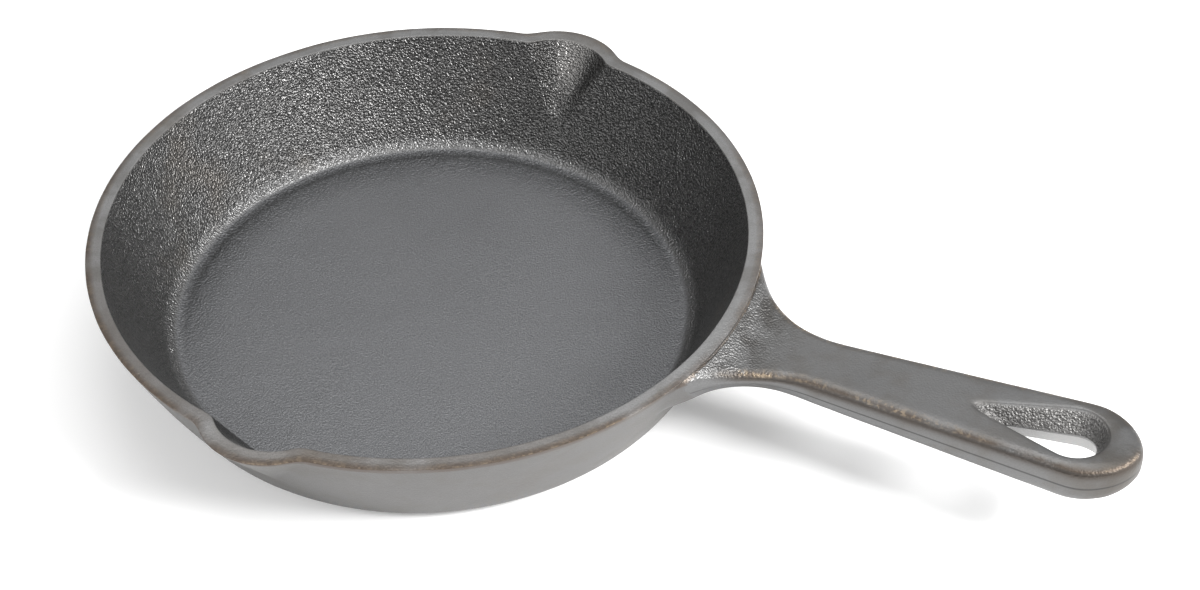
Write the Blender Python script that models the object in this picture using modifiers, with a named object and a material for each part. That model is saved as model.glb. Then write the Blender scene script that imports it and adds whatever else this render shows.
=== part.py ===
"""A cast iron skillet: a shallow flared pan with two pouring spouts and one long handle.

The real skillet is a single iron casting.  It is modelled here as its three named zones, the cooking
floor, the side wall that carries the rim and the spouts, and the handle.  Neighbouring zones follow
each other's surface with a hairline SEAM_GAP between them.

Units are metres.  The origin is the centre of the flat base, +Z is up and the handle points along +X.
"""
import math

import bmesh
import bpy

# ---------------------------------------------------------------- driving dimensions of the pan
RIM_R = 0.1000          # outside radius at the rim
PAN_H = 0.0378          # base to rim
WALL_FLARE = 0.0180     # how far the wall leans out on its way up to the rim
WALL_BOW = 0.0006       # how far the wall swells past a straight line, half way up
WALL_T = 0.0046         # level thickness of the wall, and so the width of the rim's flat land
BASE_ROUND = 0.0080     # rounding between the base and the outer wall
FLOOR_T = 0.0038        # thickness of the cooking floor
FLOOR_FILLET = 0.0055   # rounding between the cooking floor and the inner wall
FLOOR_EDGE = 0.0005     # the floor zone ends this far inside that rounding

# ---------------------------------------------------------------- the two pouring spouts
SPOUT_REACH = 0.0063    # how far the lip stands out past the rim
SPOUT_W = 0.0325        # width of the swelling where it leaves the rim
SPOUT_LIP_T = 0.0054    # level thickness of the lip at its middle
CHANNEL_W = 0.0275      # width of the pouring channel where it leaves the inner wall
SPOUT_DROP = 0.0230     # how far below the rim the spout fades into the wall
SPOUT_TIP_R = 0.0040    # radius that the swelling and the channel narrow to at that depth
SPOUT_BLEND = 0.0025    # size of the blend between a spout and the wall, at the rim

# ---------------------------------------------------------------- the handle
HANDLE_L = 0.1177       # rim to tip
NECK_W = 0.0172         # width that the side lines would have at the rim, without the flare
END_W = 0.0292          # width where the rounded end begins
ROUND_END_L = 0.0150    # length of the rounded end
ROUND_END_POWER = 1.7   # 2 is an ellipse, less is more pointed
ROOT_FILLET = 0.0370    # round, seen from above, that joins each side to the rim at the top face
UNDER_FILLET = 0.0260   # the same at the underside
TOP_DROP_ROOT = 0.0051  # how far the top face's line is below the rim, at the rim
TOP_DROP_TIP = 0.0002   # the same, at the tip
ROOT_RAMP = 0.0047      # how high the top face climbs back up where it meets the rim
ROOT_RAMP_L = 0.0050    # distance over which that climb fades to a third
HANDLE_DROP = 0.0133    # how far the handle's underside is below the rim
ROOT_ARCH = 0.0012      # how high the underside climbs where it meets the wall
ROOT_ARCH_L = 0.0100    # distance over which that climb fades to a third
TIP_LIFT = 0.0022       # how high the underside climbs over the rounded end
EDGE_ROUND = 0.0026     # rounding between the top face and the flanks
UNDER_ROUND = 0.0032    # rounding between the flanks and the underside

# ---------------------------------------------------------------- the hanging hole
HOLE_SETBACK = 0.0098   # tip of the handle to the round end of the hole's mouth
MOUTH_L = 0.0385        # length of the teardrop mouth in the top face
MOUTH_W = 0.0190        # its width
WAIST_L = 0.0265        # length of the narrowest section, part way down
WAIST_W = 0.0098        # its width
WAIST_SETBACK = 0.0028  # how far in from the mouth's round end the narrowest section ends
WAIST_BELOW_TOP = 0.0056  # depth of that section under the top face
HOLE_POINT_R = 0.0012   # radius of the teardrop's narrow end
UNDER_FLARE = 0.0020    # how much wider on every side the hole is again at the underside

# ---------------------------------------------------------------- how the model is made
SEAM_GAP = 0.0003       # gap between neighbouring zones of the casting
TURN_STEPS = 144        # facets around the pan
TRIM = 0.0020           # how far a cutter or a blank runs past the face that it makes
FILLET_STEPS = 5        # facets in each turned rounding
WALL_STEPS = 6          # facets up the wall
HANDLE_STEPS = 44       # stations along the handle's bar
TIP_STEPS = 10          # stations in its rounded end
EDGE_STEPS = 4          # facets in each of its rounded edges
HOLE_STEPS = 12         # facets around each end of the hole
SHARP_ANGLE = math.radians(32)   # steeper edges than this are shaded sharp

TIP_X = RIM_R + HANDLE_L

IRON_FLOOR = (0.155, 0.160, 0.168, 1.0)
IRON_WALL = (0.120, 0.122, 0.124, 1.0)
IRON_HANDLE = (0.180, 0.178, 0.176, 1.0)


# ---------------------------------------------------------------- scene helpers
def clear_scene():
    for old in list(bpy.data.objects):
        bpy.data.objects.remove(old, do_unlink=True)


def new_collection(name):
    collection = bpy.data.collections.new(name)
    bpy.context.scene.collection.children.link(collection)
    return collection


def cast_iron(name, colour, roughness):
    material = bpy.data.materials.new(name)
    material.use_nodes = True
    shader = material.node_tree.nodes["Principled BSDF"]
    shader.inputs["Base Color"].default_value = colour
    shader.inputs["Roughness"].default_value = roughness
    shader.inputs["Metallic"].default_value = 0.35
    return material


def add_object(name, mesh, collection, material=None):
    thing = bpy.data.objects.new(name, mesh)
    collection.objects.link(thing)
    if material:
        mesh.materials.append(material)
    return thing


def add_cutter(name, mesh):
    cutter = add_object(name, mesh, cutters)
    cutter.hide_render = True
    cutter.display_type = "WIRE"
    return cutter


def boolean(target, operation, other):
    step = target.modifiers.new(operation.lower() + "_" + other.name, "BOOLEAN")
    step.operation = operation
    step.solver = "EXACT"
    step.object = other


def mesh_from(name, build):
    """A mesh filled by build(bm)."""
    mesh = bpy.data.meshes.new(name)
    bm = bmesh.new()
    build(bm)
    bm.to_mesh(mesh)
    bm.free()
    mesh.shade_smooth()
    mesh.set_sharp_from_angle(angle=SHARP_ANGLE)
    return mesh


def turned(name, profile, collection, material=None):
    """Turn a profile of (radius, height) points, which runs down the outer side, about the Z axis."""
    def build(bm):
        points = [bm.verts.new((radius, 0.0, height)) for radius, height in profile]
        for a, b in zip(points, points[1:]):
            bm.edges.new((a, b))

    thing = add_object(name, mesh_from(name, build), collection, material)
    screw = thing.modifiers.new("turn", "SCREW")
    screw.axis = "Z"
    screw.angle = math.tau
    screw.steps = TURN_STEPS
    screw.render_steps = TURN_STEPS
    screw.use_merge_vertices = True
    screw.merge_threshold = 0.00001
    screw.use_smooth_shade = True
    return thing


def lofted(name, rings, ribbed_caps=False):
    """A closed solid through rings of equal length, the lowest ring first, each counter-clockwise.

    Ribbed caps join each point of a symmetric ring to its mirror point, so they can follow a curve.
    """
    def build(bm):
        loops = [[bm.verts.new(point) for point in ring] for ring in rings]
        count = len(loops[0])
        for low, high in zip(loops, loops[1:]):
            for i in range(count):
                j = (i + 1) % count
                bm.faces.new((low[i], low[j], high[j], high[i]))
        if not ribbed_caps:
            bm.faces.new(loops[-1])
            bm.faces.new(loops[0][::-1])
            return
        for i in range(count // 2):
            across = count - 1 - i
            for loop, order in ((loops[-1], 1), (loops[0], -1)):
                corners = [loop[i], loop[i + 1], loop[across - 1], loop[across]]
                if i + 1 == across - 1:
                    corners.pop(2)
                bm.faces.new(corners[::order])

    return mesh_from(name, build)


# ---------------------------------------------------------------- the pan's profile
def outer_radius(height):
    """Outside radius of the wall at a height, before the base's rounding."""
    share = height / PAN_H
    return RIM_R - WALL_FLARE * (1.0 - share) + WALL_BOW * 4.0 * share * (1.0 - share)


def inner_radius(height):
    return outer_radius(height) - WALL_T


def rounded_corner(radius_at, level, round_r):
    """Points of the rounding between the leaning wall and a flat at a level, wall end first."""
    lean = math.atan2(radius_at(level + round_r) - radius_at(level), round_r)
    centre_r = radius_at(level) - round_r * math.tan((math.pi / 2 - lean) / 2)
    centre_z = level + round_r
    points = []
    for i in range(FILLET_STEPS + 1):
        angle = -lean + (lean - math.pi / 2) * i / FILLET_STEPS
        points.append((centre_r + round_r * math.cos(angle), centre_z + round_r * math.sin(angle)))
    return points


def wall_points(radius_at, top, bottom):
    heights = [top + (bottom - top) * i / WALL_STEPS for i in range(WALL_STEPS)]
    return [(radius_at(height), height) for height in heights]


def pan_room_profile():
    """The room that the pan takes with its seam gap: over the rim, down the wall and in to the axis."""
    def gap_radius(height):
        return outer_radius(height) + SEAM_GAP

    corner = rounded_corner(gap_radius, 0.0, BASE_ROUND)
    top = PAN_H + TRIM
    return [(0.0, top)] + wall_points(gap_radius, top, corner[0][1]) + corner + [(0.0, 0.0)]


# ---------------------------------------------------------------- the spouts
def chord_radius(width, rise):
    """Radius of the circle whose arc has this width and this rise."""
    return (width * width / 4 + rise * rise) / (2 * rise)


def spout_push(wall_at, lip_y, width, height, azimuth):
    """How far a spout moves the wall out at a height, at an azimuth from the spout's middle.

    A spout is a leaning cone in the wall.  Its level section is a circle, which shrinks and moves in
    from the lip at the rim to nothing at SPOUT_DROP below it, and which blends into the wall.
    """
    wall = wall_at(height)
    depth = (PAN_H - height) / SPOUT_DROP
    if depth >= 1.0 or math.cos(azimuth) <= 0.0:
        return 0.0
    rise = lip_y - math.sqrt(wall_at(PAN_H) ** 2 - width * width / 4)
    foot_y = wall_at(PAN_H - SPOUT_DROP)
    ring_r = chord_radius(width, rise) * (1.0 - depth) + SPOUT_TIP_R * depth
    centre_y = lip_y * (1.0 - depth) + foot_y * depth - ring_r
    aside = centre_y * math.sin(azimuth)
    if abs(aside) >= ring_r:
        return 0.0
    reach = centre_y * math.cos(azimuth) + math.sqrt(ring_r ** 2 - aside ** 2)
    blend_r = SPOUT_BLEND * (1.0 - depth)
    blend = max(blend_r - abs(reach - wall), 0.0)
    return max(reach, wall) + blend ** 2 / (4 * blend_r) - wall


def wall_profile(floor_seam_r):
    """The wall's closed section: down the outside, in under the base, up the seam and up the inside."""
    base_corner = rounded_corner(outer_radius, 0.0, BASE_ROUND)
    floor_corner = rounded_corner(inner_radius, FLOOR_T, FLOOR_FILLET)
    outside = wall_points(outer_radius, PAN_H, base_corner[0][1]) + base_corner
    inside = wall_points(inner_radius, PAN_H, floor_corner[0][1]) + floor_corner
    return outside + [(floor_seam_r, 0.0), (floor_seam_r, FLOOR_T)] + inside[::-1]


def spouted_wall(floor_seam_r):
    """The wall's section turned about the Z axis, and pushed out into a spout at +Y and at -Y."""
    lip_y = RIM_R + SPOUT_REACH

    def build(bm):
        points = [bm.verts.new((radius, 0.0, height)) for radius, height in wall_profile(floor_seam_r)]
        edges = [bm.edges.new((a, b)) for a, b in zip(points, points[1:] + points[:1])]
        bmesh.ops.spin(bm, geom=points + edges, cent=(0, 0, 0), axis=(0, 0, 1), angle=math.tau,
                       steps=TURN_STEPS, use_merge=True)
        bmesh.ops.remove_doubles(bm, verts=bm.verts, dist=0.00001)
        bmesh.ops.recalc_face_normals(bm, faces=bm.faces)
        for vertex in bm.verts:
            height = vertex.co.z
            radius = math.hypot(vertex.co.x, vertex.co.y)
            azimuth = math.atan2(vertex.co.x, abs(vertex.co.y))
            if radius > outer_radius(height) - WALL_T / 2:
                push = spout_push(outer_radius, lip_y, SPOUT_W, height, azimuth)
            else:
                push = spout_push(inner_radius, lip_y - SPOUT_LIP_T, CHANNEL_W, height, azimuth)
            vertex.co.x *= 1.0 + push / radius
            vertex.co.y *= 1.0 + push / radius

    return mesh_from("side_wall", build)


# ---------------------------------------------------------------- the handle
def handle_half_width(x, fillet_r):
    """Half width of the handle's plan at a distance x from the pan's centre.

    The round at the root touches the rim's circle at one end and the handle's side at the other.
    """
    end_x = TIP_X - ROUND_END_L
    if x > end_x:
        share = min((x - end_x) / ROUND_END_L, 1.0)
        return (END_W / 2) * (1.0 - share ** ROUND_END_POWER) ** (1.0 / ROUND_END_POWER)
    side = (NECK_W + (END_W - NECK_W) * (x - RIM_R) / (end_x - RIM_R)) / 2
    centre_x = math.sqrt((RIM_R + fillet_r) ** 2 - (NECK_W / 2 + fillet_r) ** 2)
    touch_x = centre_x * RIM_R / (RIM_R + fillet_r)
    off_centre = max(centre_x - max(x, touch_x), 0.0)
    return side + fillet_r - math.sqrt(fillet_r ** 2 - off_centre ** 2)


def handle_top(x):
    """Height of the top face at a distance x from the pan's centre."""
    past_rim = max(x - RIM_R, 0.0)
    drop = TOP_DROP_ROOT + (TOP_DROP_TIP - TOP_DROP_ROOT) * past_rim / HANDLE_L
    return PAN_H - drop + ROOT_RAMP * math.exp(-past_rim / ROOT_RAMP_L)


def handle_under(x):
    """Height of the underside at a distance x from the pan's centre."""
    past_rim = max(x - RIM_R, 0.0)
    into_end = max(x - (TIP_X - ROUND_END_L), 0.0) / ROUND_END_L
    return PAN_H - HANDLE_DROP + ROOT_ARCH * math.exp(-past_rim / ROOT_ARCH_L) + TIP_LIFT * into_end ** 2


def handle_stations():
    """Distances from the pan's centre, even along the bar and closer together in the rounded end."""
    start_x = RIM_R - 2 * WALL_T
    end_x = TIP_X - ROUND_END_L
    body = [start_x + (end_x - start_x) * i / HANDLE_STEPS for i in range(HANDLE_STEPS)]
    tip = [end_x + ROUND_END_L * math.sin(math.pi / 2 * i / TIP_STEPS) for i in range(TIP_STEPS + 1)]
    return body + tip


def handle_outline(inset, fillet_r):
    """The handle's plan from the near root round the tip to the far root, moved in by an inset."""
    near = [(x, -handle_half_width(x, fillet_r)) for x in handle_stations()]
    outline = near + [(x, -y) for x, y in reversed(near[:-1])]
    moved = []
    for i, (x, y) in enumerate(outline):
        before = outline[max(i - 1, 0)]
        after = outline[min(i + 1, len(outline) - 1)]
        run_x, run_y = after[0] - before[0], after[1] - before[1]
        run = math.hypot(run_x, run_y)
        moved.append((x - inset * run_y / run, y + inset * run_x / run))
    return moved


def handle_bar():
    """The handle's bar: plan outlines stacked from the underside to the top face, edges rounded."""
    quarter = [math.pi / 2 * i / EDGE_STEPS for i in range(EDGE_STEPS + 1)]
    rings = []
    for angle in quarter:
        outline = handle_outline(UNDER_ROUND * (1.0 - math.sin(angle)), UNDER_FILLET)
        rings.append([(x, y, handle_under(x) + UNDER_ROUND * (1.0 - math.cos(angle))) for x, y in outline])
    for angle in quarter:
        outline = handle_outline(EDGE_ROUND * (1.0 - math.cos(angle)), ROOT_FILLET)
        rings.append([(x, y, handle_top(x) - EDGE_ROUND * (1.0 - math.sin(angle))) for x, y in outline])
    return lofted("handle", rings, ribbed_caps=True)


def teardrop(length, width, round_end_x):
    """Outline of a teardrop whose round end faces the handle's tip, counter-clockwise."""
    big_r = width / 2
    big_x = round_end_x - big_r
    small_x = round_end_x - length + HOLE_POINT_R
    turn = math.acos((big_r - HOLE_POINT_R) / (big_x - small_x))
    points = []
    for i in range(2 * HOLE_STEPS + 1):
        angle = (math.pi - turn) * (i / HOLE_STEPS - 1.0)
        points.append((big_x + big_r * math.cos(angle), big_r * math.sin(angle)))
    for i in range(HOLE_STEPS + 1):
        angle = math.pi - turn + 2 * turn * i / HOLE_STEPS
        points.append((small_x + HOLE_POINT_R * math.cos(angle), HOLE_POINT_R * math.sin(angle)))
    return points


def hanging_hole():
    """Cutter for the hanging hole: it narrows from its mouth to its waist, then widens a little."""
    mouth_x = TIP_X - HOLE_SETBACK
    waist_x = mouth_x - WAIST_SETBACK
    face_z = handle_top(mouth_x - MOUTH_L / 2)
    waist_z = face_z - WAIST_BELOW_TOP
    under_z = PAN_H - HANDLE_DROP
    over = TRIM / WAIST_BELOW_TOP
    below = 1.0 + TRIM / (waist_z - under_z)

    def ring(length, width, end_x, z):
        return [(x, y, z) for x, y in teardrop(length, width, end_x)]

    mouth = ring(MOUTH_L + over * (MOUTH_L - WAIST_L), MOUTH_W + over * (MOUTH_W - WAIST_W),
                 mouth_x + over * WAIST_SETBACK, face_z + TRIM)
    waist = ring(WAIST_L, WAIST_W, waist_x, waist_z)
    spread = UNDER_FLARE * below
    under = ring(WAIST_L + 2 * spread, WAIST_W + 2 * spread, waist_x + spread, under_z - TRIM)
    return add_cutter("hanging_hole_cutter", lofted("hanging_hole_cutter", [under, waist, mouth]))


# ---------------------------------------------------------------- build
clear_scene()
skillet = new_collection("cast_iron_skillet")
cutters = new_collection("cutters")

# Side wall: it starts just inside the rounding that ends the cooking floor.
floor_seam_r = rounded_corner(inner_radius, FLOOR_T, FLOOR_FILLET)[-1][0] - FLOOR_EDGE
wall_iron = cast_iron("wall_iron", IRON_WALL, 0.55)
side_wall = add_object("side_wall", spouted_wall(floor_seam_r), skillet, wall_iron)

# Cooking floor: the flat plate inside the seam.
floor_r = floor_seam_r - SEAM_GAP
floor_profile = [(0.0, FLOOR_T), (floor_r, FLOOR_T), (floor_r, 0.0), (0.0, 0.0)]
cooking_floor = turned("cooking_floor", floor_profile, skillet, cast_iron("floor_iron", IRON_FLOOR, 0.50))

# Handle: the rounded bar, fitted to the pan's wall and pierced by the hanging hole.
pan_room = turned("pan_room_cutter", pan_room_profile(), cutters)
pan_room.hide_render = True
pan_room.display_type = "WIRE"
handle = add_object("handle", handle_bar(), skillet, cast_iron("handle_iron", IRON_HANDLE, 0.48))
boolean(handle, "DIFFERENCE", pan_room)
boolean(handle, "DIFFERENCE", hanging_hole())
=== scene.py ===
# %% [markdown]
# A cast iron skillet: one thick casting with a flared pan, two pouring spouts, a long handle and a
# teardrop hole to hang it by.  The frame holds it as three named zones: floor, wall and handle.
# Real iron has no seam between them, so this script models one continuous skin and lets it stand
# for all three.  First the frame is loaded.

# %% Load the frame
import math

import bmesh
import bpy
import numpy as np
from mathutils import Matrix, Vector, noise


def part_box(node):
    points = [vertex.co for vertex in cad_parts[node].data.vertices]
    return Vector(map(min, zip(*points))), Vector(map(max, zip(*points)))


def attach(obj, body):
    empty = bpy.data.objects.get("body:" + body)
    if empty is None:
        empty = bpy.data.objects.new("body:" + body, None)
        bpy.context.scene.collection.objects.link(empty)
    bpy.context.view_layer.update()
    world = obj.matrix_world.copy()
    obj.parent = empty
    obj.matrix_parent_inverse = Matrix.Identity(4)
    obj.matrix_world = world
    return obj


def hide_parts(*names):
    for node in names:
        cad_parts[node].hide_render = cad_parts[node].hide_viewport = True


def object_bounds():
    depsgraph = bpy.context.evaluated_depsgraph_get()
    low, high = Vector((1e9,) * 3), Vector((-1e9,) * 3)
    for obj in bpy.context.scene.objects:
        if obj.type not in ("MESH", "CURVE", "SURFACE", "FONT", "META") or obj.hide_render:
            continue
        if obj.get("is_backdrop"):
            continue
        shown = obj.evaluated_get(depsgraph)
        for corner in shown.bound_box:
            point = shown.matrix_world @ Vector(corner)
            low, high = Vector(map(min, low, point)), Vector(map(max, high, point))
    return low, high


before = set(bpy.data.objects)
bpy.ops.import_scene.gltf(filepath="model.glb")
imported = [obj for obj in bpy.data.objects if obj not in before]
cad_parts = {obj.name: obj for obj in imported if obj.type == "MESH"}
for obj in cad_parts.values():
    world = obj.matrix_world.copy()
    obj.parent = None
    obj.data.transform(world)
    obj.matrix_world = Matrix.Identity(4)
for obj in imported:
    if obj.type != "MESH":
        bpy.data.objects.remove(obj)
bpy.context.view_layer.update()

# %% [markdown]
# Sizes come from the frame wherever it can give them.  The box of the side wall gives the rim, the
# height and the reach of the spouts, the box of the cooking floor gives the thickness of the iron
# under the food, and the box of the handle gives its tip.  What a box can't tell, such as a lean or
# a rounding, is named here with the casting's own value.

# %% Sizes of the pan
RIM_R, LIP_Y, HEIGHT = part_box("side_wall")[1]
FLOOR_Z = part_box("cooking_floor")[1][2]
TIP_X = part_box("handle")[1][0]

WALL_LEAN = 0.0180      # how far the wall leans out between the base and the rim
WALL_BOW = 0.0006       # how far it swells past a straight line
WALL_T = 0.0046         # its level thickness, which is also the width of the rim's land
BASE_ROUND = 0.0080     # rounding under the outer wall
FLOOR_FILLET = 0.0055   # rounding between the floor and the inner wall
COLUMNS = 120           # columns of faces around the pan, before they are subdivided
print("rim radius", round(RIM_R, 4), "height", round(HEIGHT, 4), "handle tip", round(TIP_X, 4))


# %% [markdown]
# The pan is a turned shape.  On the real one the wall leans out in a line that is very slightly
# full, and both ends of it are rounded, because molten iron doesn't fill sharp corners.  Two small
# functions give the wall's radius at a height, and one gives the points of a rounding.

# %% The pan's section
def outside_radius(height):
    share = height / HEIGHT
    return RIM_R - WALL_LEAN * (1 - share) + WALL_BOW * 4 * share * (1 - share)


def inside_radius(height):
    return outside_radius(height) - WALL_T


def rounding(radius_at, level, size, steps):
    """Points between the leaning wall and a flat at a level, wall end first."""
    lean = math.atan2(radius_at(level + size) - radius_at(level), size)
    centre = radius_at(level) - size * math.tan((math.pi / 2 - lean) / 2)
    angles = [-lean + (lean - math.pi / 2) * i / steps for i in range(steps + 1)]
    return [(centre + size * math.cos(angle), level + size + size * math.sin(angle)) for angle in angles]


PATCH = [0.0246, 0.0278, 0.0310, 0.0342, HEIGHT - 0.0009]   # levels where the handle leaves the wall
EDGE = 0.0007                                               # half size of the rim's outer edge
INNER_EDGE = 0.0003                                         # and of its inner edge, which is ground

under_base = [(radius, 0.0) for radius in (0.014, 0.036, 0.058)]
base_corner = rounding(outside_radius, 0.0, BASE_ROUND, 4)[::-1]
outer_rings = [(outside_radius(height), height) for height in [0.0095, 0.0145, 0.0195] + PATCH]
land_in = RIM_R - WALL_T
rim = [(RIM_R, HEIGHT), (RIM_R - EDGE, HEIGHT), (land_in + INNER_EDGE, HEIGHT), (land_in, HEIGHT)]
inner_levels = (HEIGHT - INNER_EDGE, 0.0355, 0.031, 0.026, 0.021, 0.016)
inner_rings = [(inside_radius(height), height) for height in inner_levels]
floor_corner = rounding(inside_radius, FLOOR_Z, FLOOR_FILLET, 4)
floor_rings = [(radius, FLOOR_Z) for radius in (0.067, 0.051, 0.032, 0.014)]
section = under_base + base_corner + outer_rings + rim + inner_rings + floor_corner + floor_rings
print(len(section), "rings in the pan's section")

# %% [markdown]
# The skin starts as a circle under the base.  It is extruded ring by ring and scaled to each
# radius of the section: out under the base, up the wall, over the rim and down to the floor.  A
# spin would give the same shape, but rings of a chosen number of columns are needed here, since
# the handle grows out of twelve of them.  The two small circles left at the middle are filled, and
# poked so that no face has a hundred corners.

# %% Turn the pan, ring by ring
bpy.ops.object.select_all(action="DESELECT")
bpy.ops.mesh.primitive_circle_add(vertices=COLUMNS, radius=section[0][0], fill_type="NOTHING")
casting = bpy.context.object
casting.name = "skillet_casting"
bpy.ops.object.mode_set(mode="EDIT")
bpy.ops.mesh.select_mode(type="VERT")
for (before_r, before_z), (radius, height) in zip(section, section[1:]):
    bpy.ops.mesh.extrude_region_move(TRANSFORM_OT_translate={"value": (0, 0, height - before_z)})
    size = radius / before_r
    bpy.ops.transform.resize(value=(size, size, 1), center_override=(0, 0, height))


def close_circle(radius, height):
    """Fills the open circle of this radius and height, and pokes the face."""
    cage = bmesh.from_edit_mesh(casting.data)
    for vertex in cage.verts:
        near = abs(math.hypot(vertex.co.x, vertex.co.y) - radius) < 1e-5
        vertex.select_set(near and abs(vertex.co.z - height) < 1e-5)
    cage.select_flush(True)
    bpy.ops.mesh.edge_face_add()
    bpy.ops.mesh.poke()


close_circle(*section[0])
close_circle(*section[-1])
bpy.ops.mesh.select_all(action="SELECT")
bpy.ops.mesh.normals_make_consistent(inside=False)
cage = bmesh.from_edit_mesh(casting.data)
print("pan cage:", len(cage.verts), "points,", len(cage.faces), "faces")

# %% [markdown]
# The handle is drawn next, as a plan seen from above.  Its sides widen a little towards the tip,
# a large round joins each side to the rim, and the end is a blunt curve that is fuller than a
# circle.  The top face starts just under the rim, dips, and climbs slowly back to the rim's height
# at the tip.  These are its sizes and its four lines.

# %% Sizes and lines of the handle
NECK_W = 0.0172         # width that the side lines would have at the rim
END_W = 0.0292          # width where the rounded end begins
END_L = 0.0150          # length of the rounded end
END_POWER = 1.7         # 2 would be an ellipse
TOP_FILLET = 0.0370     # round between each side and the rim, at the top face
UNDER_FILLET = 0.0260   # the same at the underside
TOP_ROUND = 0.0026      # rounding between the top face and the flanks
UNDER_ROUND = 0.0032    # rounding between the flanks and the underside
TOP_STEP = 0.0051       # how far the top face starts below the rim
TOP_CLIMB = 0.0049      # how much of that it wins back on the way to the tip
TOP_CURL = 0.0047       # how far the root curls up towards the rim
TOP_CURL_REACH = 0.0050     # distance from the rim at which the curl has mostly died away
UNDER_STEP = 0.0133     # how far the underside lies below the rim
UNDER_CURL = 0.0012     # how far its root curls up
UNDER_CURL_REACH = 0.0100   # and the same for it
TIP_LIFT = 0.0022       # how much the underside rises in the rounded end


def half_width(x, fillet):
    end_x = TIP_X - END_L
    if x > end_x:
        share = min((x - end_x) / END_L, 1.0)
        return END_W / 2 * (1 - share ** END_POWER) ** (1 / END_POWER)
    side = (NECK_W + (END_W - NECK_W) * (x - RIM_R) / (end_x - RIM_R)) / 2
    centre_x = math.sqrt((RIM_R + fillet) ** 2 - (NECK_W / 2 + fillet) ** 2)
    touch_x = centre_x * RIM_R / (RIM_R + fillet)
    off_centre = max(centre_x - max(x, touch_x), 0.0)
    return side + fillet - math.sqrt(fillet ** 2 - off_centre ** 2)


def top_height(x, y):
    past_rim = max(math.hypot(x, y) - RIM_R, 0.0)
    drop = TOP_STEP - TOP_CLIMB * past_rim / (TIP_X - RIM_R)
    return HEIGHT - drop + TOP_CURL * math.exp(-past_rim / TOP_CURL_REACH)


def under_height(x, y):
    past_rim = max(math.hypot(x, y) - RIM_R, 0.0)
    into_end = max(x - (TIP_X - END_L), 0.0) / END_L
    curl = UNDER_CURL * math.exp(-past_rim / UNDER_CURL_REACH)
    return HEIGHT - UNDER_STEP + curl + TIP_LIFT * into_end ** 2


middle_x = (RIM_R + TIP_X) / 2
print("handle width half way out:", round(2 * half_width(middle_x, TOP_FILLET), 4), "and at the end:", END_W)

# %% [markdown]
# The handle's cage is twelve columns wide and four levels high, and it is extruded from the wall
# in thirty stations.  A new point inherits the column and level of the point it was extruded from
# and is given its station, so all of them can be laid on the handle's lines afterwards.  This is
# the usual way to grow a limb from a body: the subdivided skin then flows from the wall into the
# handle with a soft root, as the iron does, where a joined bar would leave a hard line.

# %% Extrude the handle out of the wall
STATIONS = 30
WIDE = 12               # columns across the handle
HIGH = len(PATCH) - 1   # levels through its thickness
NEAR = 2e-5             # how close a point must be to count as lying on the wall

cage = bmesh.from_edit_mesh(casting.data)
station_of = cage.verts.layers.int.new("station")
column_of = cage.verts.layers.int.new("column")
level_of = cage.verts.layers.int.new("level")
degrees_per_column = 360 / COLUMNS
for vertex in cage.verts:
    azimuth = math.degrees(math.atan2(vertex.co.y, vertex.co.x))
    column = round(azimuth / degrees_per_column) + WIDE // 2
    on_wall = abs(math.hypot(vertex.co.x, vertex.co.y) - outside_radius(vertex.co.z)) < NEAR
    levels = [i for i, height in enumerate(PATCH) if abs(vertex.co.z - height) < NEAR]
    if on_wall and levels and 0 <= column <= WIDE:
        vertex[column_of] = column + 1
        vertex[level_of] = levels[0] + 1
bpy.ops.mesh.select_mode(type="FACE")
for face in cage.faces:
    face.select_set(all(vertex[level_of] > 0 for vertex in face.verts))
bmesh.update_edit_mesh(casting.data)
print(sum(face.select for face in cage.faces), "faces of the wall carry the handle")

for station in range(1, STATIONS + 1):
    bpy.ops.mesh.extrude_region_move(TRANSFORM_OT_translate={"value": (0.003, 0, 0)})
    cage = bmesh.from_edit_mesh(casting.data)
    station_of = cage.verts.layers.int["station"]
    for vertex in cage.verts:
        if vertex.select:
            vertex[station_of] = station
bpy.ops.mesh.select_all(action="DESELECT")

# %% [markdown]
# Now the plan of the cage.  The outline runs along one side, round the end and back.  A point on
# the corner of the section sits on the middle of its rounding, and the next ring inwards sits where
# the rounding ends, so that the subdivided edge gets the right radius.  The columns in between are
# spread evenly and bulge towards the tip.

# %% Lay out one face of the handle
SPLIT_X = TIP_X - 0.0057                      # where the outline turns from the side to the end
SPLIT_Y = half_width(SPLIT_X, TOP_FILLET)
ROOT_X = RIM_R * math.cos(math.radians(WIDE / 2 * degrees_per_column))
MIDDLE = WIDE // 2
CORNER = 1 - math.sqrt(0.5)                   # share of a rounding's radius at its middle
CROWDING = 1.25                               # above 1 puts the stations closer together at the root


def along(station):
    """Share of the way from the rim to the tip."""
    return (station / STATIONS) ** CROWDING


def outline(station, column, fillet):
    """Point of the handle's plan at a station on a side, or at a column of the end."""
    if station < STATIONS:
        x = ROOT_X + (SPLIT_X - ROOT_X) * along(station)
        return Vector((x, math.copysign(half_width(x, fillet), column - MIDDLE)))
    y = SPLIT_Y * (column - MIDDLE) / MIDDLE
    full = 1 - (2 * abs(y) / END_W) ** END_POWER
    return Vector((TIP_X - END_L + END_L * full ** (1 / END_POWER), y))


def inward(path, index):
    """Unit vector from a point of the outline into the handle."""
    run = path[min(index + 1, len(path) - 1)] - path[max(index - 1, 0)]
    return Vector((-run.y, run.x)).normalized()


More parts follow.
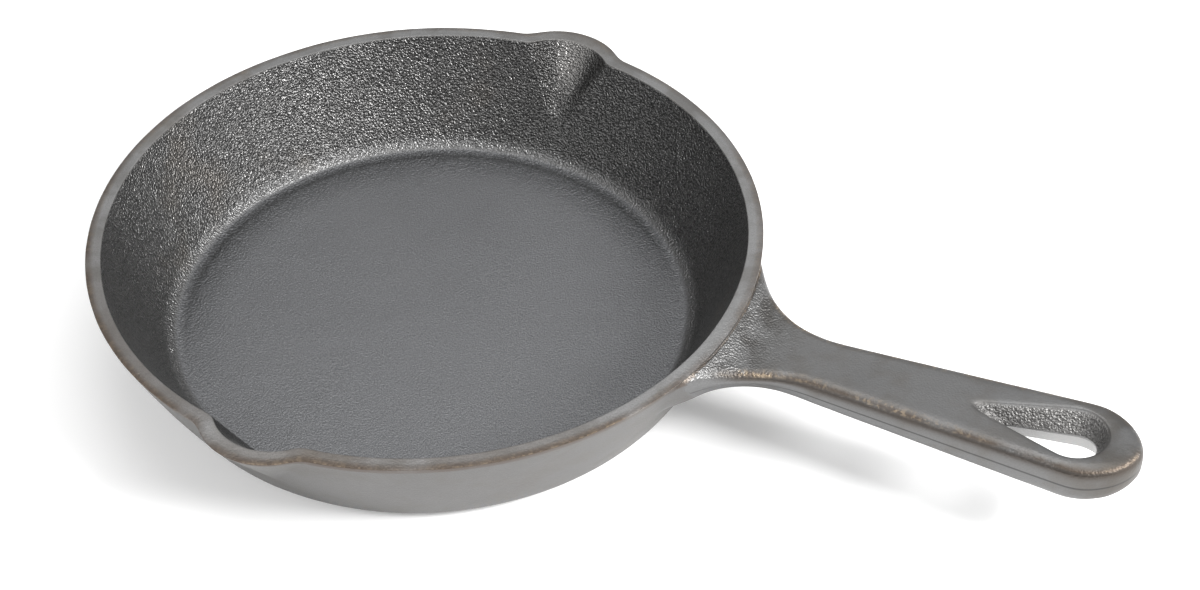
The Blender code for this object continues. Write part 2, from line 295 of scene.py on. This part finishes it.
def plan(fillet, round_r):
    """Plan position of every point of the top or the underside, by station and column."""
    border = [(station, 0) for station in range(1, STATIONS)]
    border += [(STATIONS, column) for column in range(WIDE + 1)]
    border += [(station, WIDE) for station in range(STATIONS - 1, 0, -1)]
    path = [outline(station, column, fillet) for station, column in border]
    place = {}
    for index, (station, column) in enumerate(border):
        into = inward(path, index)
        place[station, column] = path[index] + CORNER * round_r * into
        inner = min(station, STATIONS - 1), min(max(column, 1), WIDE - 1)
        place[inner] = path[index] + round_r * into
    for station in range(1, STATIONS - 1):
        left, right = place[station, 1], place[station, WIDE - 1]
        middle_x = RIM_R + (TIP_X - RIM_R) * along(station)
        for column in range(2, WIDE - 1):
            across = (column - 1) / (WIDE - 2)
            bulge = 1 - (2 * across - 1) ** 2
            x = left.x + (middle_x - left.x) * bulge
            place[station, column] = Vector((x, left.y + (right.y - left.y) * across))
    return place


top_plan = plan(TOP_FILLET, TOP_ROUND)
under_plan = plan(UNDER_FILLET, UNDER_ROUND)
print(len(top_plan), "points laid out on each face of the handle")

# %% [markdown]
# The hanging hole is a teardrop whose round end faces the tip.  It is a wide mouth in the top face
# that narrows to a waist part way down and opens a little again underneath, which is how a pattern
# maker lets the sand core pull out.  Its outline is walked in even steps from the narrow end, one
# step for each point of the loop that will be cut in the cage.

# %% Outline of the hanging hole
HOLE_FIRST, HOLE_LAST = 20, 28                # stations that the hole takes
HOLE_LEFT, HOLE_RIGHT = 3, 9                  # columns that it takes
MOUTH = (0.0385, 0.0190, TIP_X - 0.0098)      # length, width and place of the round end
WAIST = (0.0265, 0.0098, TIP_X - 0.0126)      # the same for the waist
NARROW_R = 0.0012                             # radius of the narrow end

half_loop = [(HOLE_FIRST, column) for column in range(MIDDLE, HOLE_RIGHT + 1)]
half_loop += [(station, HOLE_RIGHT) for station in range(HOLE_FIRST + 1, HOLE_LAST + 1)]
half_loop += [(HOLE_LAST, column) for column in range(HOLE_RIGHT - 1, MIDDLE - 1, -1)]
other_half = [(station, WIDE - column) for station, column in half_loop[-2:0:-1]]
hole_loop = half_loop + other_half


def teardrop(length, width, round_end, grow=0.0):
    """Even steps round a teardrop, from its narrow end, that is grown on every side."""
    big_r, small_r = width / 2 + grow, NARROW_R + grow
    big_x = round_end - width / 2
    small_x = round_end - length + NARROW_R
    turn = math.acos((big_r - small_r) / (big_x - small_x))
    narrow = np.linspace(math.pi, math.pi - turn, 20)
    wide = np.linspace(math.pi - turn, 0, 60)
    x = np.concatenate([small_x + small_r * np.cos(narrow), big_x + big_r * np.cos(wide)])
    y = np.concatenate([small_r * np.sin(narrow), big_r * np.sin(wide)])
    walked = np.concatenate([[0], np.cumsum(np.hypot(np.diff(x), np.diff(y)))])
    steps = np.linspace(0, walked[-1], len(hole_loop) // 2 + 1)
    side = list(zip(np.interp(steps, walked, x), np.interp(steps, walked, y)))
    return [Vector(point) for point in side] + [Vector((px, -py)) for px, py in side[-2:0:-1]]


print(len(hole_loop), "points round the hole")

# %% [markdown]
# The even columns don't know about the hole.  Its loop is laid on the teardrop, and then every
# free point near it moves, again and again, to the middle of its four neighbours.  The rows part
# round the hole like wood grain round a knot, and no face is left folded.

# %% Open the rows around the hole
LIP = 0.0006                                  # rounding of the hole's edges
UNDER_GROW = 0.0020                           # how much wider the hole is at the underside
FIRST_FREE = 14                               # first station whose points may move
ROUNDS = 150                                  # enough for the points to settle


def relax(place, loop_points):
    """Lays the loop, then moves every free point to the middle of its neighbours."""
    place.update(zip(hole_loop, loop_points))
    stations = range(FIRST_FREE, STATIONS - 1)
    free = [(station, column) for station in stations for column in range(2, WIDE - 1)]
    free = [key for key in free if key not in hole_loop]
    for _ in range(ROUNDS):
        for station, column in free:
            lengthways = place[station - 1, column] + place[station + 1, column]
            across = place[station, column - 1] + place[station, column + 1]
            place[station, column] = (lengthways + across) / 4
    print(len(free), "free points relaxed round the hole")


relax(top_plan, teardrop(*MOUTH, grow=LIP))
relax(under_plan, teardrop(*WAIST, grow=UNDER_GROW + LIP))

# %% [markdown]
# Every point of the handle can now go to its place by its marks.  The top and the underside take
# their plans, with the corners on the middle of their roundings, and the levels between them are
# spread up the flank.

# %% Move the handle's points to their places
for vertex in cage.verts:
    station, column, level = vertex[station_of], vertex[column_of] - 1, vertex[level_of] - 1
    if station == 0:
        continue
    border = column in (0, WIDE) or station == STATIONS
    if level == HIGH:
        x, y = top_plan[station, column]
        z = top_height(x, y) - (CORNER * TOP_ROUND if border else 0)
    elif level == 0:
        x, y = under_plan[station, column]
        z = under_height(x, y) + (CORNER * UNDER_ROUND if border else 0)
    else:
        share = (level - 1) / (HIGH - 2)
        x, y = outline(station, column, UNDER_FILLET + (TOP_FILLET - UNDER_FILLET) * share)
        low, high = under_height(x, y) + UNDER_ROUND, top_height(x, y) - TOP_ROUND
        z = low + (high - low) * share
    vertex.co = (x, y, z)
bmesh.update_edit_mesh(casting.data)
print("the handle ends at", round(max(vertex.co.x for vertex in cage.verts), 4))

# %% [markdown]
# The hole is cut through the cage: the faces inside its loop go, above and below, and the upper
# loop is extruded down in rings.  The first rings round the lip, the next ones slope to the waist,
# and the last open out again.  A bridge then joins them to the loop in the underside.

# %% Cut the hole and line it
def marked_cage():
    """The cage in edit mode, with its layers of stations, columns and levels."""
    cage = bmesh.from_edit_mesh(casting.data)
    layers = cage.verts.layers.int
    return cage, layers["station"], layers["column"], layers["level"]


def in_hole(vertex, level):
    inside_columns = HOLE_LEFT <= vertex[column_of] - 1 <= HOLE_RIGHT
    inside_stations = HOLE_FIRST <= vertex[station_of] <= HOLE_LAST
    return inside_columns and inside_stations and vertex[level_of] - 1 == level


cage, station_of, column_of, level_of = marked_cage()
for face in cage.faces:
    face.select_set(any(all(in_hole(vertex, level) for vertex in face.verts) for level in (0, HIGH)))
bpy.ops.mesh.delete(type="FACE")
bpy.ops.mesh.select_mode(type="EDGE")


def select_loop(marks):
    """Selects the open edges whose two points carry one of these level marks."""
    cage, station_of, column_of, level_of = marked_cage()
    for edge in cage.edges:
        edge.select_set(edge.is_boundary and all(vertex[level_of] in marks for vertex in edge.verts))


def between(share, grow=0.0):
    """Teardrop at a share of the way down from the mouth to the waist."""
    sizes = [mouth + (waist - mouth) * share for mouth, waist in zip(MOUTH, WAIST)]
    return teardrop(*sizes, grow=grow)


WAIST_DEPTH = 0.0056    # depth of the waist below the top face
RING_MARK = 100         # mark of the first ring, well above the levels
hole_rings = [
    (between(0.0, grow=LIP * 0.3), 0.0002),
    (between(0.12), 0.0008),
    (between(0.55), 0.0031),
    (between(0.92), 0.0050),
    (between(1.0), WAIST_DEPTH),
    (between(1.0, grow=0.0003), 0.0063),
    (between(1.0, grow=UNDER_GROW), 0.0108),
]
marks = {HIGH + 1}
for number, (points, depth) in enumerate(hole_rings):
    select_loop(marks)
    bpy.ops.mesh.extrude_region_move(TRANSFORM_OT_translate={"value": (0, 0, -0.0001)})
    cage, station_of, column_of, level_of = marked_cage()
    for vertex in cage.verts:
        if vertex.select:
            x, y = points[hole_loop.index((vertex[station_of], vertex[column_of] - 1))]
            vertex.co = (x, y, top_height(x, y) - depth)
            vertex[level_of] = RING_MARK + number
    marks = {RING_MARK + number}
    bmesh.update_edit_mesh(casting.data)
select_loop(marks | {1})
bpy.ops.mesh.bridge_edge_loops()
bpy.ops.mesh.select_all(action="SELECT")
bpy.ops.mesh.normals_make_consistent(inside=False)
cage = bmesh.from_edit_mesh(casting.data)
open_edges = sum(edge.is_boundary for edge in cage.edges)
print("cage:", len(cage.faces), "faces,", open_edges, "open edges")
bpy.ops.object.mode_set(mode="OBJECT")

# %% [markdown]
# A Subdivision Surface turns the cage into smooth iron.  It is applied, since the spouts are
# pressed into the fine skin and not into the cage.

# %% Subdivide the cage
smooth = casting.modifiers.new("smooth", "SUBSURF")
smooth.levels = 2
smooth.render_levels = 2
bpy.ops.object.modifier_apply(modifier="smooth")
print("skin:", len(casting.data.polygons), "faces")

# %% [markdown]
# Each pouring spout is the track of a cone that leans in the wall: wide at the lip, and closing
# to a rounded point part way down.  The outer face follows one cone and the channel a slightly
# smaller one, so the lip keeps its thickness.  Every point is moved straight out from the pan's
# axis by a formula.  A hand drag with proportional editing could not hold the lip's width and
# would move the wall beside it.

# %% Press out the two spouts
SPOUT_W = 0.0325        # width of the swelling at the rim
CHANNEL_W = 0.0275      # width of the channel
LIP_T = 0.0054          # thickness of the lip
SPOUT_DROP = 0.0230     # how far below the rim a spout fades out
SPOUT_TIP_R = 0.0040    # radius of its lowest point
SWELL_BLEND = 0.0025    # softness of the swelling's two long edges, at the rim
CHANNEL_BLEND = 0.0012  # the same for the channel, whose edges are crisper
SPOUT_FROM_R = 0.06     # no point nearer the axis than this moves
SPOUT_HALF_ANGLE = 0.5  # and none further round from a spout's middle, in radians


def spout_push(wall_at, lip_y, width, softness, height, azimuth):
    """How far a spout moves the wall out, at a height and at an azimuth from its middle."""
    depth = (HEIGHT - height) / SPOUT_DROP
    if depth >= 1.0 or math.cos(azimuth) <= 0.0:
        return 0.0
    wall = wall_at(height)
    rise = lip_y - math.sqrt(wall_at(HEIGHT) ** 2 - width ** 2 / 4)
    lip_r = (width ** 2 / 4 + rise ** 2) / (2 * rise)
    ring_r = lip_r * (1 - depth) + SPOUT_TIP_R * depth
    centre_y = lip_y * (1 - depth) + wall_at(HEIGHT - SPOUT_DROP) * depth - ring_r
    aside = centre_y * math.sin(azimuth)
    if abs(aside) >= ring_r:
        return 0.0
    reach = centre_y * math.cos(azimuth) + math.sqrt(ring_r ** 2 - aside ** 2)
    blend = softness * (1 - depth)
    overlap = max(blend - abs(reach - wall), 0.0)
    return max(reach, wall) + overlap ** 2 / (4 * blend) - wall


def read_points(mesh, field="co"):
    values = np.empty(len(mesh.vertices) * 3)
    mesh.vertices.foreach_get(field, values)
    return values.reshape(-1, 3)


turned = read_points(casting.data)            # the skin before the spouts, kept for the finish
pushed = turned.copy()
for index, (x, y, z) in enumerate(turned):
    radius = math.hypot(x, y)
    azimuth = math.atan2(x, abs(y))
    if radius < SPOUT_FROM_R or abs(azimuth) > SPOUT_HALF_ANGLE:
        continue
    across = min(max((radius - inside_radius(z)) / WALL_T, 0.0), 1.0)
    outer = spout_push(outside_radius, LIP_Y, SPOUT_W, SWELL_BLEND, z, azimuth)
    inner = spout_push(inside_radius, LIP_Y - LIP_T, CHANNEL_W, CHANNEL_BLEND, z, azimuth)
    pushed[index, :2] *= 1 + (inner + (outer - inner) * across) / radius
casting.data.vertices.foreach_set("co", pushed.ravel())
casting.data.update()
print("lip of a spout at", round(pushed[:, 1].max(), 4))

# %% [markdown]
# Iron that came out of sand is never quite true.  A low, slow unevenness of a tenth of a
# millimetre is enough to make the long highlights on the rim and the handle waver.

# %% Uneven skin
LONG_WAVES = (45, 0.00010)      # waves to the metre, and their height
SHORT_WAVES = (140, 0.00004)


def unevenness(point):
    return sum(noise.noise(Vector(point) * count) * tall for count, tall in (LONG_WAVES, SHORT_WAVES))


outward = read_points(casting.data, "normal")
slow = [unevenness(point) for point in pushed]
above_base = np.clip((pushed[:, 2] - 0.0005) / 0.002, 0, 1)      # the base stays flat
uneven = pushed + outward * (np.array(slow) * above_base)[:, None]
casting.data.vertices.foreach_set("co", uneven.ravel())
casting.data.update()
print("unevenness up to", round(1000 * max(slow), 3), "mm")

bpy.ops.object.select_all(action="DESELECT")
casting.select_set(True)
bpy.context.view_layer.objects.active = casting
bpy.ops.object.shade_smooth()

# %% [markdown]
# The finish differs from place to place: the inner wall keeps the coarse skin of the sand, the
# floor is finer, the rim and the handle were ground and handled smooth, and their edges are worn.
# Each of these zones is written on the mesh as an attribute from 0 to 1, worked out from where a
# point was before the spouts were pressed.  The material then asks for a zone by name.  Weights
# painted by hand would do as well, but a formula follows the casting when a size changes.

# %% Zones of the skin
def fade(low, high, value):
    """Rises smoothly from 0 at low to 1 at high."""
    share = np.clip((value - low) / (high - low), 0, 1)
    return share * share * (3 - 2 * share)


x, y, z = turned.T
radius = np.hypot(x, y)
from_axis = np.maximum(radius, 1e-6)
tilt = outward[:, 2]                          # 1 faces up, -1 faces down
below_rim = HEIGHT - z
above_floor = z - FLOOR_Z
in_pan = (radius < inside_radius(z) + WALL_T / 2) & (z > FLOOR_Z / 2)
on_handle = (radius > RIM_R + 0.0002) & (x > 0)
print(f"{np.mean(in_pan):.2f} of the points lie in the pan, {np.mean(on_handle):.2f} on the handle")

# %% [markdown]
# Some zones need one more measure.  On the handle that is the depth below the top face, the
# distance to the side, and how high a point lies between the underside and the top.  In the pan
# it is how far the spouts pressed a point out, how much the skin turns aside there, and whether
# the point lies on the far side, where the corner of the floor gets more painted shade.

# %% Measures for the zones
FLOOR_CORNER_R = 0.0746                       # radius of the corner between floor and fillet
top_z = np.array([top_height(px, py) for px, py in turned[:, :2]])
under_z = np.array([under_height(px, py) for px, py in turned[:, :2]])
in_mouth = (x > MOUTH[2] - MOUTH[0] - LIP) & (x < MOUTH[2] + LIP) & (abs(y) < MOUTH[1] / 2 + LIP)
hole_depth = np.where(in_mouth & on_handle, top_z - z, 0)
to_side = np.array([half_width(px, TOP_FILLET) for px in np.minimum(x, TIP_X)]) - abs(y)
by_side = np.maximum(1 - fade(0.0020, 0.0042, to_side), fade(TIP_X - 0.0045, TIP_X - 0.0025, x))
by_side = np.where(on_handle, by_side * fade(0.002, 0.010, radius - RIM_R), 1.0)
pressed = np.hypot(pushed[:, 0], pushed[:, 1]) - radius
turned_aside = abs(outward[:, 0] * y - outward[:, 1] * x) / from_axis
# weight for the painted shade at the corner of the floor, heaviest on the far side
far_side = fade(-0.25, 0.55, (0.8 * y - 0.6 * x) / from_axis)
print("deepest point of the hole:", round(hole_depth.max(), 4), "furthest pressed:", round(pressed.max(), 4))

# %% [markdown]
# Each zone is then one line: where it lies, and how softly it ends.  The longer parts, such as the
# rounded outer corners of the rim and the handle, are worked out first.

# %% The zones
# lower part of the round between the floor and the wall, which takes a painted highlight
fillet_highlight_band = fade(0.0001, 0.0009, above_floor) * (1 - fade(0.0020, 0.0042, above_floor))
at_rim_side = fade(RIM_R - 0.0026, RIM_R - 0.0006, radius) * (0.45 + 0.55 * fade(0.04, -0.06, y))
rounded = np.exp(-((tilt - 0.80) / 0.16) ** 2)
sloping = np.exp(-((tilt - 0.42) / 0.30) ** 2)
outer_corner = (below_rim < 0.0085) * (hole_depth < 0.0006) * ~in_mouth * by_side
zones = {
    "inner_wall": in_pan * fade(0.00002, 0.0003, below_rim) * fade(0.0001, 0.0012, above_floor),
    "cooking_floor": in_pan * (1 - fade(0.0001, 0.0012, above_floor)),
    # the edge of the floor: painted shade, heaviest on the far side, and a rougher grain in the bump
    "floor_edge_shade_and_grain": in_pan * fade(0.060, 0.0765, radius) * (1 - fade(0, 0.0006, above_floor))
                  * (0.1 + 0.9 * far_side),
    # painted shade: a dark ring round the corner of the floor, on the far side
    "gutter_painted_shade": in_pan * np.exp(-((radius - FLOOR_CORNER_R) / 0.0012) ** 2) * far_side,
    # painted highlight along the round between the floor and the wall
    "fillet": in_pan * fillet_highlight_band * (radius > 0.06),
    # painted highlight down the middle of a spout's channel
    "channel_highlight": in_pan * fade(0.0010, 0.0035, pressed) * (1 - fade(0.10, 0.35, turned_aside)),
    # painted shade on the flanks of a spout's channel
    "channel_flank_shade": in_pan * fade(0.15, 0.50, turned_aside) * fade(FLOOR_Z, 0.012, z),
    "land": (below_rim < 0.0004) * (radius < RIM_R) * (radius > RIM_R - WALL_T),
    "near_land": (below_rim < 0.0004) * (radius < RIM_R + 0.001) * fade(-0.02, -0.09, y),
    "rim_side": ~in_pan * ~on_handle * (below_rim < 0.0022) * at_rim_side,
    "edge": rounded * ~in_pan * outer_corner,
    "handle": on_handle,
    "root": on_handle * np.exp(-((radius - RIM_R - 0.003) / 0.0095) ** 2) * fade(0.3, 0.8, tilt),
    "flank": sloping * on_handle * (hole_depth < 0.0006) * ~in_mouth * by_side,
    "side_height": np.clip((z - under_z) / (top_z - under_z), 0, 1) * on_handle,
    "tip": on_handle * fade(TIP_X - 0.022, TIP_X - 0.002, x),
    "hole_wall": fade(0.0003, 0.0010, hole_depth) * (1 - fade(0.0054, 0.0062, hole_depth)),
    "hole_foot": fade(0.0054, 0.0062, hole_depth) * (tilt > -0.5),
}
for name, values in zones.items():
    attribute = casting.data.attributes.new(name, "FLOAT", "POINT")
    attribute.data.foreach_set("value", values.astype(float))
    print(f"{name:14s} covers {100 * np.mean(values > 0.5):5.1f} % of the points")

# %% [markdown]
# A material is a web of nodes, and most of it is arithmetic.  The class below wraps one socket, so
# that the arithmetic can be written as Python: adding, subtracting or multiplying wrapped sockets
# makes the Math nodes.  Every other node comes from its one method, which takes the node's type,
# its settings, and what goes into its sockets.

# %% A socket that does arithmetic
class Wire:
    def __init__(self, tree, socket=None):
        self.tree = tree
        self.socket = socket

    def node(self, kind, settings, inputs, output=0):
        made = self.tree.nodes.new(kind)
        for name, value in settings.items():
            setattr(made, name, value)
        for name, value in inputs.items():
            if isinstance(value, Wire):
                self.tree.links.new(value.socket, made.inputs[name])
            else:
                made.inputs[name].default_value = value
        return Wire(self.tree, made.outputs[output]) if made.outputs else None

    def math(self, operation, first, second):
        return self.node("ShaderNodeMath", {"operation": operation}, {0: first, 1: second})

    def __add__(self, other):
        return self.math("ADD", self, other)

    def __sub__(self, other):
        return self.math("SUBTRACT", self, other)

    def __rsub__(self, other):
        return self.math("SUBTRACT", other, self)

    def __mul__(self, other):
        return self.math("MULTIPLY", self, other)

    __radd__ = __add__
    __rmul__ = __mul__


def new_material(name):
    material = bpy.data.materials.new(name)
    material.use_nodes = True
    material.node_tree.nodes.clear()
    return material, Wire(material.node_tree)


# %% [markdown]
# Grain is the heart of cast iron.  Molten iron takes the print of the sand, so the skin is a field
# of rounded bumps a little over half a millimetre apart, with finer sand on top of them.  Noise
# gives both: patches and blotches of oil and rust, a coarse grain, the sand and a fine tooth.  The
# noises are in object coordinates, in metres, so a scale of 1000 means bumps a millimetre wide.

# %% Patterns in the iron
iron, wire = new_material("seasoned_cast_iron")
place = wire.node("ShaderNodeTexCoord", {}, {}, "Object")


def cloud(scale, detail=2.0, roughness=0.5, at=place):
    sockets = {"Vector": at, "Scale": scale, "Detail": detail, "Roughness": roughness}
    return wire.node("ShaderNodeTexNoise", {}, sockets, "Fac")


def zone(name):
    return wire.node("ShaderNodeAttribute", {"attribute_name": name}, {}, "Fac")


def rise(value, low, high):
    """0 below low, 1 above high, smooth between."""
    settings = {"interpolation_type": "SMOOTHSTEP", "clamp": True}
    return wire.node("ShaderNodeMapRange", settings, {"Value": value, "From Min": low, "From Max": high})


def mixed(share, first, second):
    return wire.node("ShaderNodeMix", {"data_type": "RGBA"}, {0: share, 6: first, 7: second}, 2)


def grey(level, warmth=0.0):
    return (level * (1 + warmth), level, level * (1 - warmth), 1.0)


coarse = cloud(1650, 0.6, 0.5)
sand = cloud(2900, 1.0)
fine = cloud(5200, 1.0)
patches = cloud(28, 3.0, 0.6)
blotches = cloud(75, 3.0, 0.6)

inner_wall, cooking_floor, floor_edge_shade_and_grain = zone("inner_wall"), zone("cooking_floor"), zone("floor_edge_shade_and_grain")
gutter_painted_shade, fillet = zone("gutter_painted_shade"), zone("fillet")
channel_highlight, channel_flank_shade = zone("channel_highlight"), zone("channel_flank_shade")
land, near_land, rim_side, edge = zone("land"), zone("near_land"), zone("rim_side"), zone("edge")
handle, root, flank, tip = zone("handle"), zone("root"), zone("flank"), zone("tip")
side_height, hole_wall, hole_foot = zone("side_height"), zone("hole_wall"), zone("hole_foot")
outside = 1 - inner_wall - cooking_floor
parting = rise(side_height, 0.46, 0.50) * (1 - rise(side_height, 0.50, 0.54))
hollows = 1 - rise(coarse, 0.36, 0.60)
print(len(iron.node_tree.nodes), "nodes for the patterns and zones")

# %% [markdown]
# The colour is a dark grey that reflects like dull metal.  One layer is mixed over the other, from
# the ground iron of the outside to the zones that were left as cast.  Inside the pan the hollows
# of the grain hold the blackest oil, and light specks on the grain are painted glints.  Painted
# shade darkens the corner of the floor, most on the far side, and a painted highlight lies along
# the round between the floor and the wall.  Each spout's channel has a painted highlight down its
# middle and painted shade on its flanks.

# %% Colour inside and outside the pan
FLOOR_BLUE_GREY = (0.163, 0.166, 0.173, 1.0)
FLOOR_EDGE_SHADE_GREY = (0.060, 0.062, 0.066, 1.0)
RIM_TAUPE = (0.165, 0.150, 0.138, 1.0)
TIP_BROWN = (0.068, 0.060, 0.052, 1.0)
MOTTLE_BROWN = (0.115, 0.105, 0.093, 1.0)

base = mixed(rise(patches, 0.35, 0.65), grey(0.118, 0.03), grey(0.152, 0.02))
base = mixed(land, base, grey(0.310))
base = mixed(near_land * rise(patches, 0.30, 0.55) * 0.80, base, RIM_TAUPE)
base = mixed(handle, base, grey(0.165))
base = mixed(tip * rise(blotches, 0.30, 0.60) * 0.8, base, TIP_BROWN)
base = mixed(cooking_floor, base, FLOOR_BLUE_GREY)
# painted shade: the edge of the floor is darkened, most on the far side
base = mixed(floor_edge_shade_and_grain * 0.60, base, FLOOR_EDGE_SHADE_GREY)
base = mixed(inner_wall, base, grey(0.118, 0.01))
base = mixed(inner_wall * hollows * 0.70, base, grey(0.024, 0.02))
# painted glints: light specks on the grain of the inner wall
base = mixed(inner_wall * rise(sand, 0.63, 0.70) * 0.6, base, grey(0.50, 0.02))
base = mixed(cooking_floor * rise(sand, 0.50, 0.66) * 0.55, base, grey(0.070))
base = mixed(cooking_floor * (1 - rise(sand, 0.34, 0.46)) * 0.55, base, grey(0.27))
base = mixed(floor_edge_shade_and_grain * hollows * 0.50, base, grey(0.050))
# painted highlight: a lighter band along the round between the floor and the wall
base = mixed(fillet * 0.45, base, grey(0.180))
# painted shade: a dark ring round the corner of the floor, on the far side
base = mixed(gutter_painted_shade * 0.62, base, grey(0.035))
# painted highlight: a lighter strip down the middle of each spout's channel
base = mixed(channel_highlight * 0.60, base, grey(0.270, 0.03))
# painted shade: the flanks of each spout's channel are darkened
base = mixed(channel_flank_shade * 0.75, base, grey(0.026, 0.04))
base = mixed(outside * rise(fine, 0.45, 0.62) * 0.30, base, grey(0.085))
base = mixed(outside * rise(blotches, 0.44, 0.64) * 0.36, base, MOTTLE_BROWN)
print(len(iron.node_tree.nodes), "nodes with the first colours")

# %% [markdown]
# Age is laid over that.  The root of the handle is stained, the hanging hole still has its cast
# skin down to a smoother foot, and brown patches are a film of old oil.  A dark line runs round
# the handle's side, where the two halves of the mould met.  The edges that hands and shelves rub
# go brown and then tan, in a line that is broken where the skin still holds.

# %% Stains, oil and wear
OIL_BROWN = (0.130, 0.104, 0.076, 1.0)
FLANK_BROWN = (0.062, 0.050, 0.041, 1.0)
RIM_BROWN = (0.092, 0.070, 0.055, 1.0)
WORN_BROWN = (0.085, 0.064, 0.048, 1.0)
RUBBED_TAN = (0.340, 0.270, 0.190, 1.0)

base = mixed(root * 0.40, base, grey(0.100, 0.02))
base = mixed(root * rise(blotches, 0.36, 0.54) * 0.75, base, grey(0.052, 0.06))
base = mixed(hole_wall, base, grey(0.175, 0.02))
base = mixed(hole_wall * hollows * 0.5, base, grey(0.070, 0.03))
base = mixed(hole_foot, base, grey(0.300, 0.01))
oil_film = rise(patches, 0.56, 0.72) * (inner_wall * 0.22 + handle * 0.12 + land * 0.5)
base = mixed(oil_film, base, OIL_BROWN)
base = mixed(flank * 0.80, base, FLANK_BROWN)
base = mixed(parting * 0.75, base, grey(0.030))
base = mixed(rim_side * rise(patches, 0.30, 0.52) * 0.85, base, RIM_BROWN)
worn = edge * rise(blotches, 0.30, 0.55)
breaks = rise(cloud(750, 2.0, 0.6), 0.46, 0.62) * rise(patches, 0.35, 0.60)
rubbed = edge * breaks * (1 - tip * 0.7)
base = mixed(worn * 0.80, base, WORN_BROWN)
base = mixed(rubbed * 0.75, base, RUBBED_TAN)
print(len(iron.node_tree.nodes), "nodes with all the colours")

# %% [markdown]
# Gloss comes from the oil that was baked on.  It is a little wetter in some patches and on the
# inner wall, and duller where the edges are worn.

# %% Roughness of the iron
gloss_change = (patches - 0.5) * 0.25 + (fine - 0.5) * 0.10
smoother = inner_wall * 0.12 + land * 0.06
duller = worn * 0.12 + hole_wall * 0.06
roughness = 0.44 + gloss_change - smoother + duller
print(len(iron.node_tree.nodes), "nodes with the roughness")

# %% [markdown]
# The bump's height is worked out in metres, with one depth for each zone.  The noise spans less
# than half of its range from 0 to 1, so half a millimetre of depth on the inner wall gives bumps
# of about two tenths.  The floor has much less, and the ground and handled faces have only a
# trace of sand.

# %% Relief of the iron
grain_depth = 0.000050 + inner_wall * 0.000540 + cooking_floor * 0.000090 + floor_edge_shade_and_grain * 0.000300
grain_depth = grain_depth + root * 0.000340 + hole_wall * 0.000550 + edge * 0.000140 + flank * 0.000060
sand_depth = 0.000020 + inner_wall * 0.000090 + cooking_floor * 0.000070
sand_depth = sand_depth + root * 0.000110 + hole_wall * 0.000160
lumps = cloud(240, 2.0)
relief = coarse * grain_depth + sand * sand_depth + lumps * 0.000030 + fine * 0.000003
normal = wire.node("ShaderNodeBump", {}, {"Strength": 1.0, "Distance": 1.0, "Height": relief})
print(len(iron.node_tree.nodes), "nodes with the relief")

# %% [markdown]
# Colour, roughness and the bump's normal carry the pattern.  The metallic share is one number all
# over, since the film of oil is about equally thin everywhere.

# %% Put the finish together
shader_inputs = {"Base Color": base, "Roughness": roughness, "Metallic": 0.85, "Normal": normal}
surface = wire.node("ShaderNodeBsdfPrincipled", {}, shader_inputs)
wire.node("ShaderNodeOutputMaterial", {}, {"Surface": surface})
casting.data.materials.append(iron)
print(len(iron.node_tree.nodes), "nodes in the iron")

# %% [markdown]
# The casting rides on the only body there is, and it stands for the three zones of the frame.

# %% The casting stands for the three zones
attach(casting, "root")
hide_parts("cooking_floor", "side_wall", "handle")

# %% [markdown]
# The object stands on a plain sheet of white paper under soft studio light.  The paper glows a
# little by itself, which is what a sheet lit from below does, and it keeps the shadows faint.

# %% Floor
bpy.ops.object.select_all(action="DESELECT")
bpy.ops.mesh.primitive_plane_add(size=6)
floor = bpy.context.object
floor.name = "studio_floor"
paper, wire = new_material("white_paper")
paper_inputs = {
    "Base Color": grey(0.82),
    "Roughness": 0.9,
    "Emission Color": grey(1.0),
    "Emission Strength": 0.23,
}
surface = wire.node("ShaderNodeBsdfPrincipled", {}, paper_inputs)
wire.node("ShaderNodeOutputMaterial", {}, {"Surface": surface})
floor.data.materials.append(paper)
floor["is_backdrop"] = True
print("the sheet is", floor.dimensions.x, "m wide")

# %% [markdown]
# The key light is a softbox beyond the tip of the handle, low enough to rake across the grain of
# the wall that faces it.  A weaker one fills in from the near left, a large soft one hangs above
# the pan, and a white surround gives the iron something to reflect on every side.

# %% Lights
def softbox(name, place, aim, size, power):
    light = bpy.data.lights.new(name, "AREA")
    light.shape = "RECTANGLE"
    light.size, light.size_y = size
    light.energy = power
    lamp = bpy.data.objects.new(name, light)
    bpy.context.scene.collection.objects.link(lamp)
    lamp.location = place
    lamp.rotation_euler = (Vector(aim) - Vector(place)).to_track_quat("-Z", "Y").to_euler()
    print(name, "gives", power, "W from", round(Vector(place).length, 2), "m")


softbox("key_softbox", (0.92, 0.02, 0.70), (0, 0, 0.02), (0.42, 0.35), 22)
softbox("fill_softbox", (-0.45, -0.80, 0.75), (0, 0, 0.02), (0.35, 0.35), 4)
softbox("top_softbox", (-0.1, 0.3, 1.4), (0, 0, 0), (1.0, 1.0), 9)
world = bpy.data.worlds.new("white_tent")
bpy.context.scene.world = world
world.use_nodes = True
surround = world.node_tree.nodes["Background"]
surround.inputs["Color"].default_value = (1, 1, 1, 1)
surround.inputs["Strength"].default_value = 0.47

# %% [markdown]
# The camera stands to the side of the handle and looks down at about forty degrees through a long
# lens, and it is turned by half a degree about its own axis.

# %% Camera
lens = bpy.data.cameras.new("camera")
lens.lens = 69.0
lens.sensor_width = 36.0
camera = bpy.data.objects.new("camera", lens)
bpy.context.scene.collection.objects.link(camera)
camera.location = (0.2762, -0.4420, 0.4793)
camera.rotation_euler = [math.radians(angle) for angle in (47.788, 0.572, 25.841)]
bpy.context.scene.camera = camera
bpy.context.scene.view_settings.view_transform = "Standard"
print("the camera stands", round(camera.location.length, 3), "m from the middle of the base")

# %% [markdown]
# Last, the box of the finished casting is measured and printed in millimetres.

# %% Note the size of the finished casting
low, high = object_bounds()
print("visual box in mm:", [round(1000 * side, 1) for side in high - low])
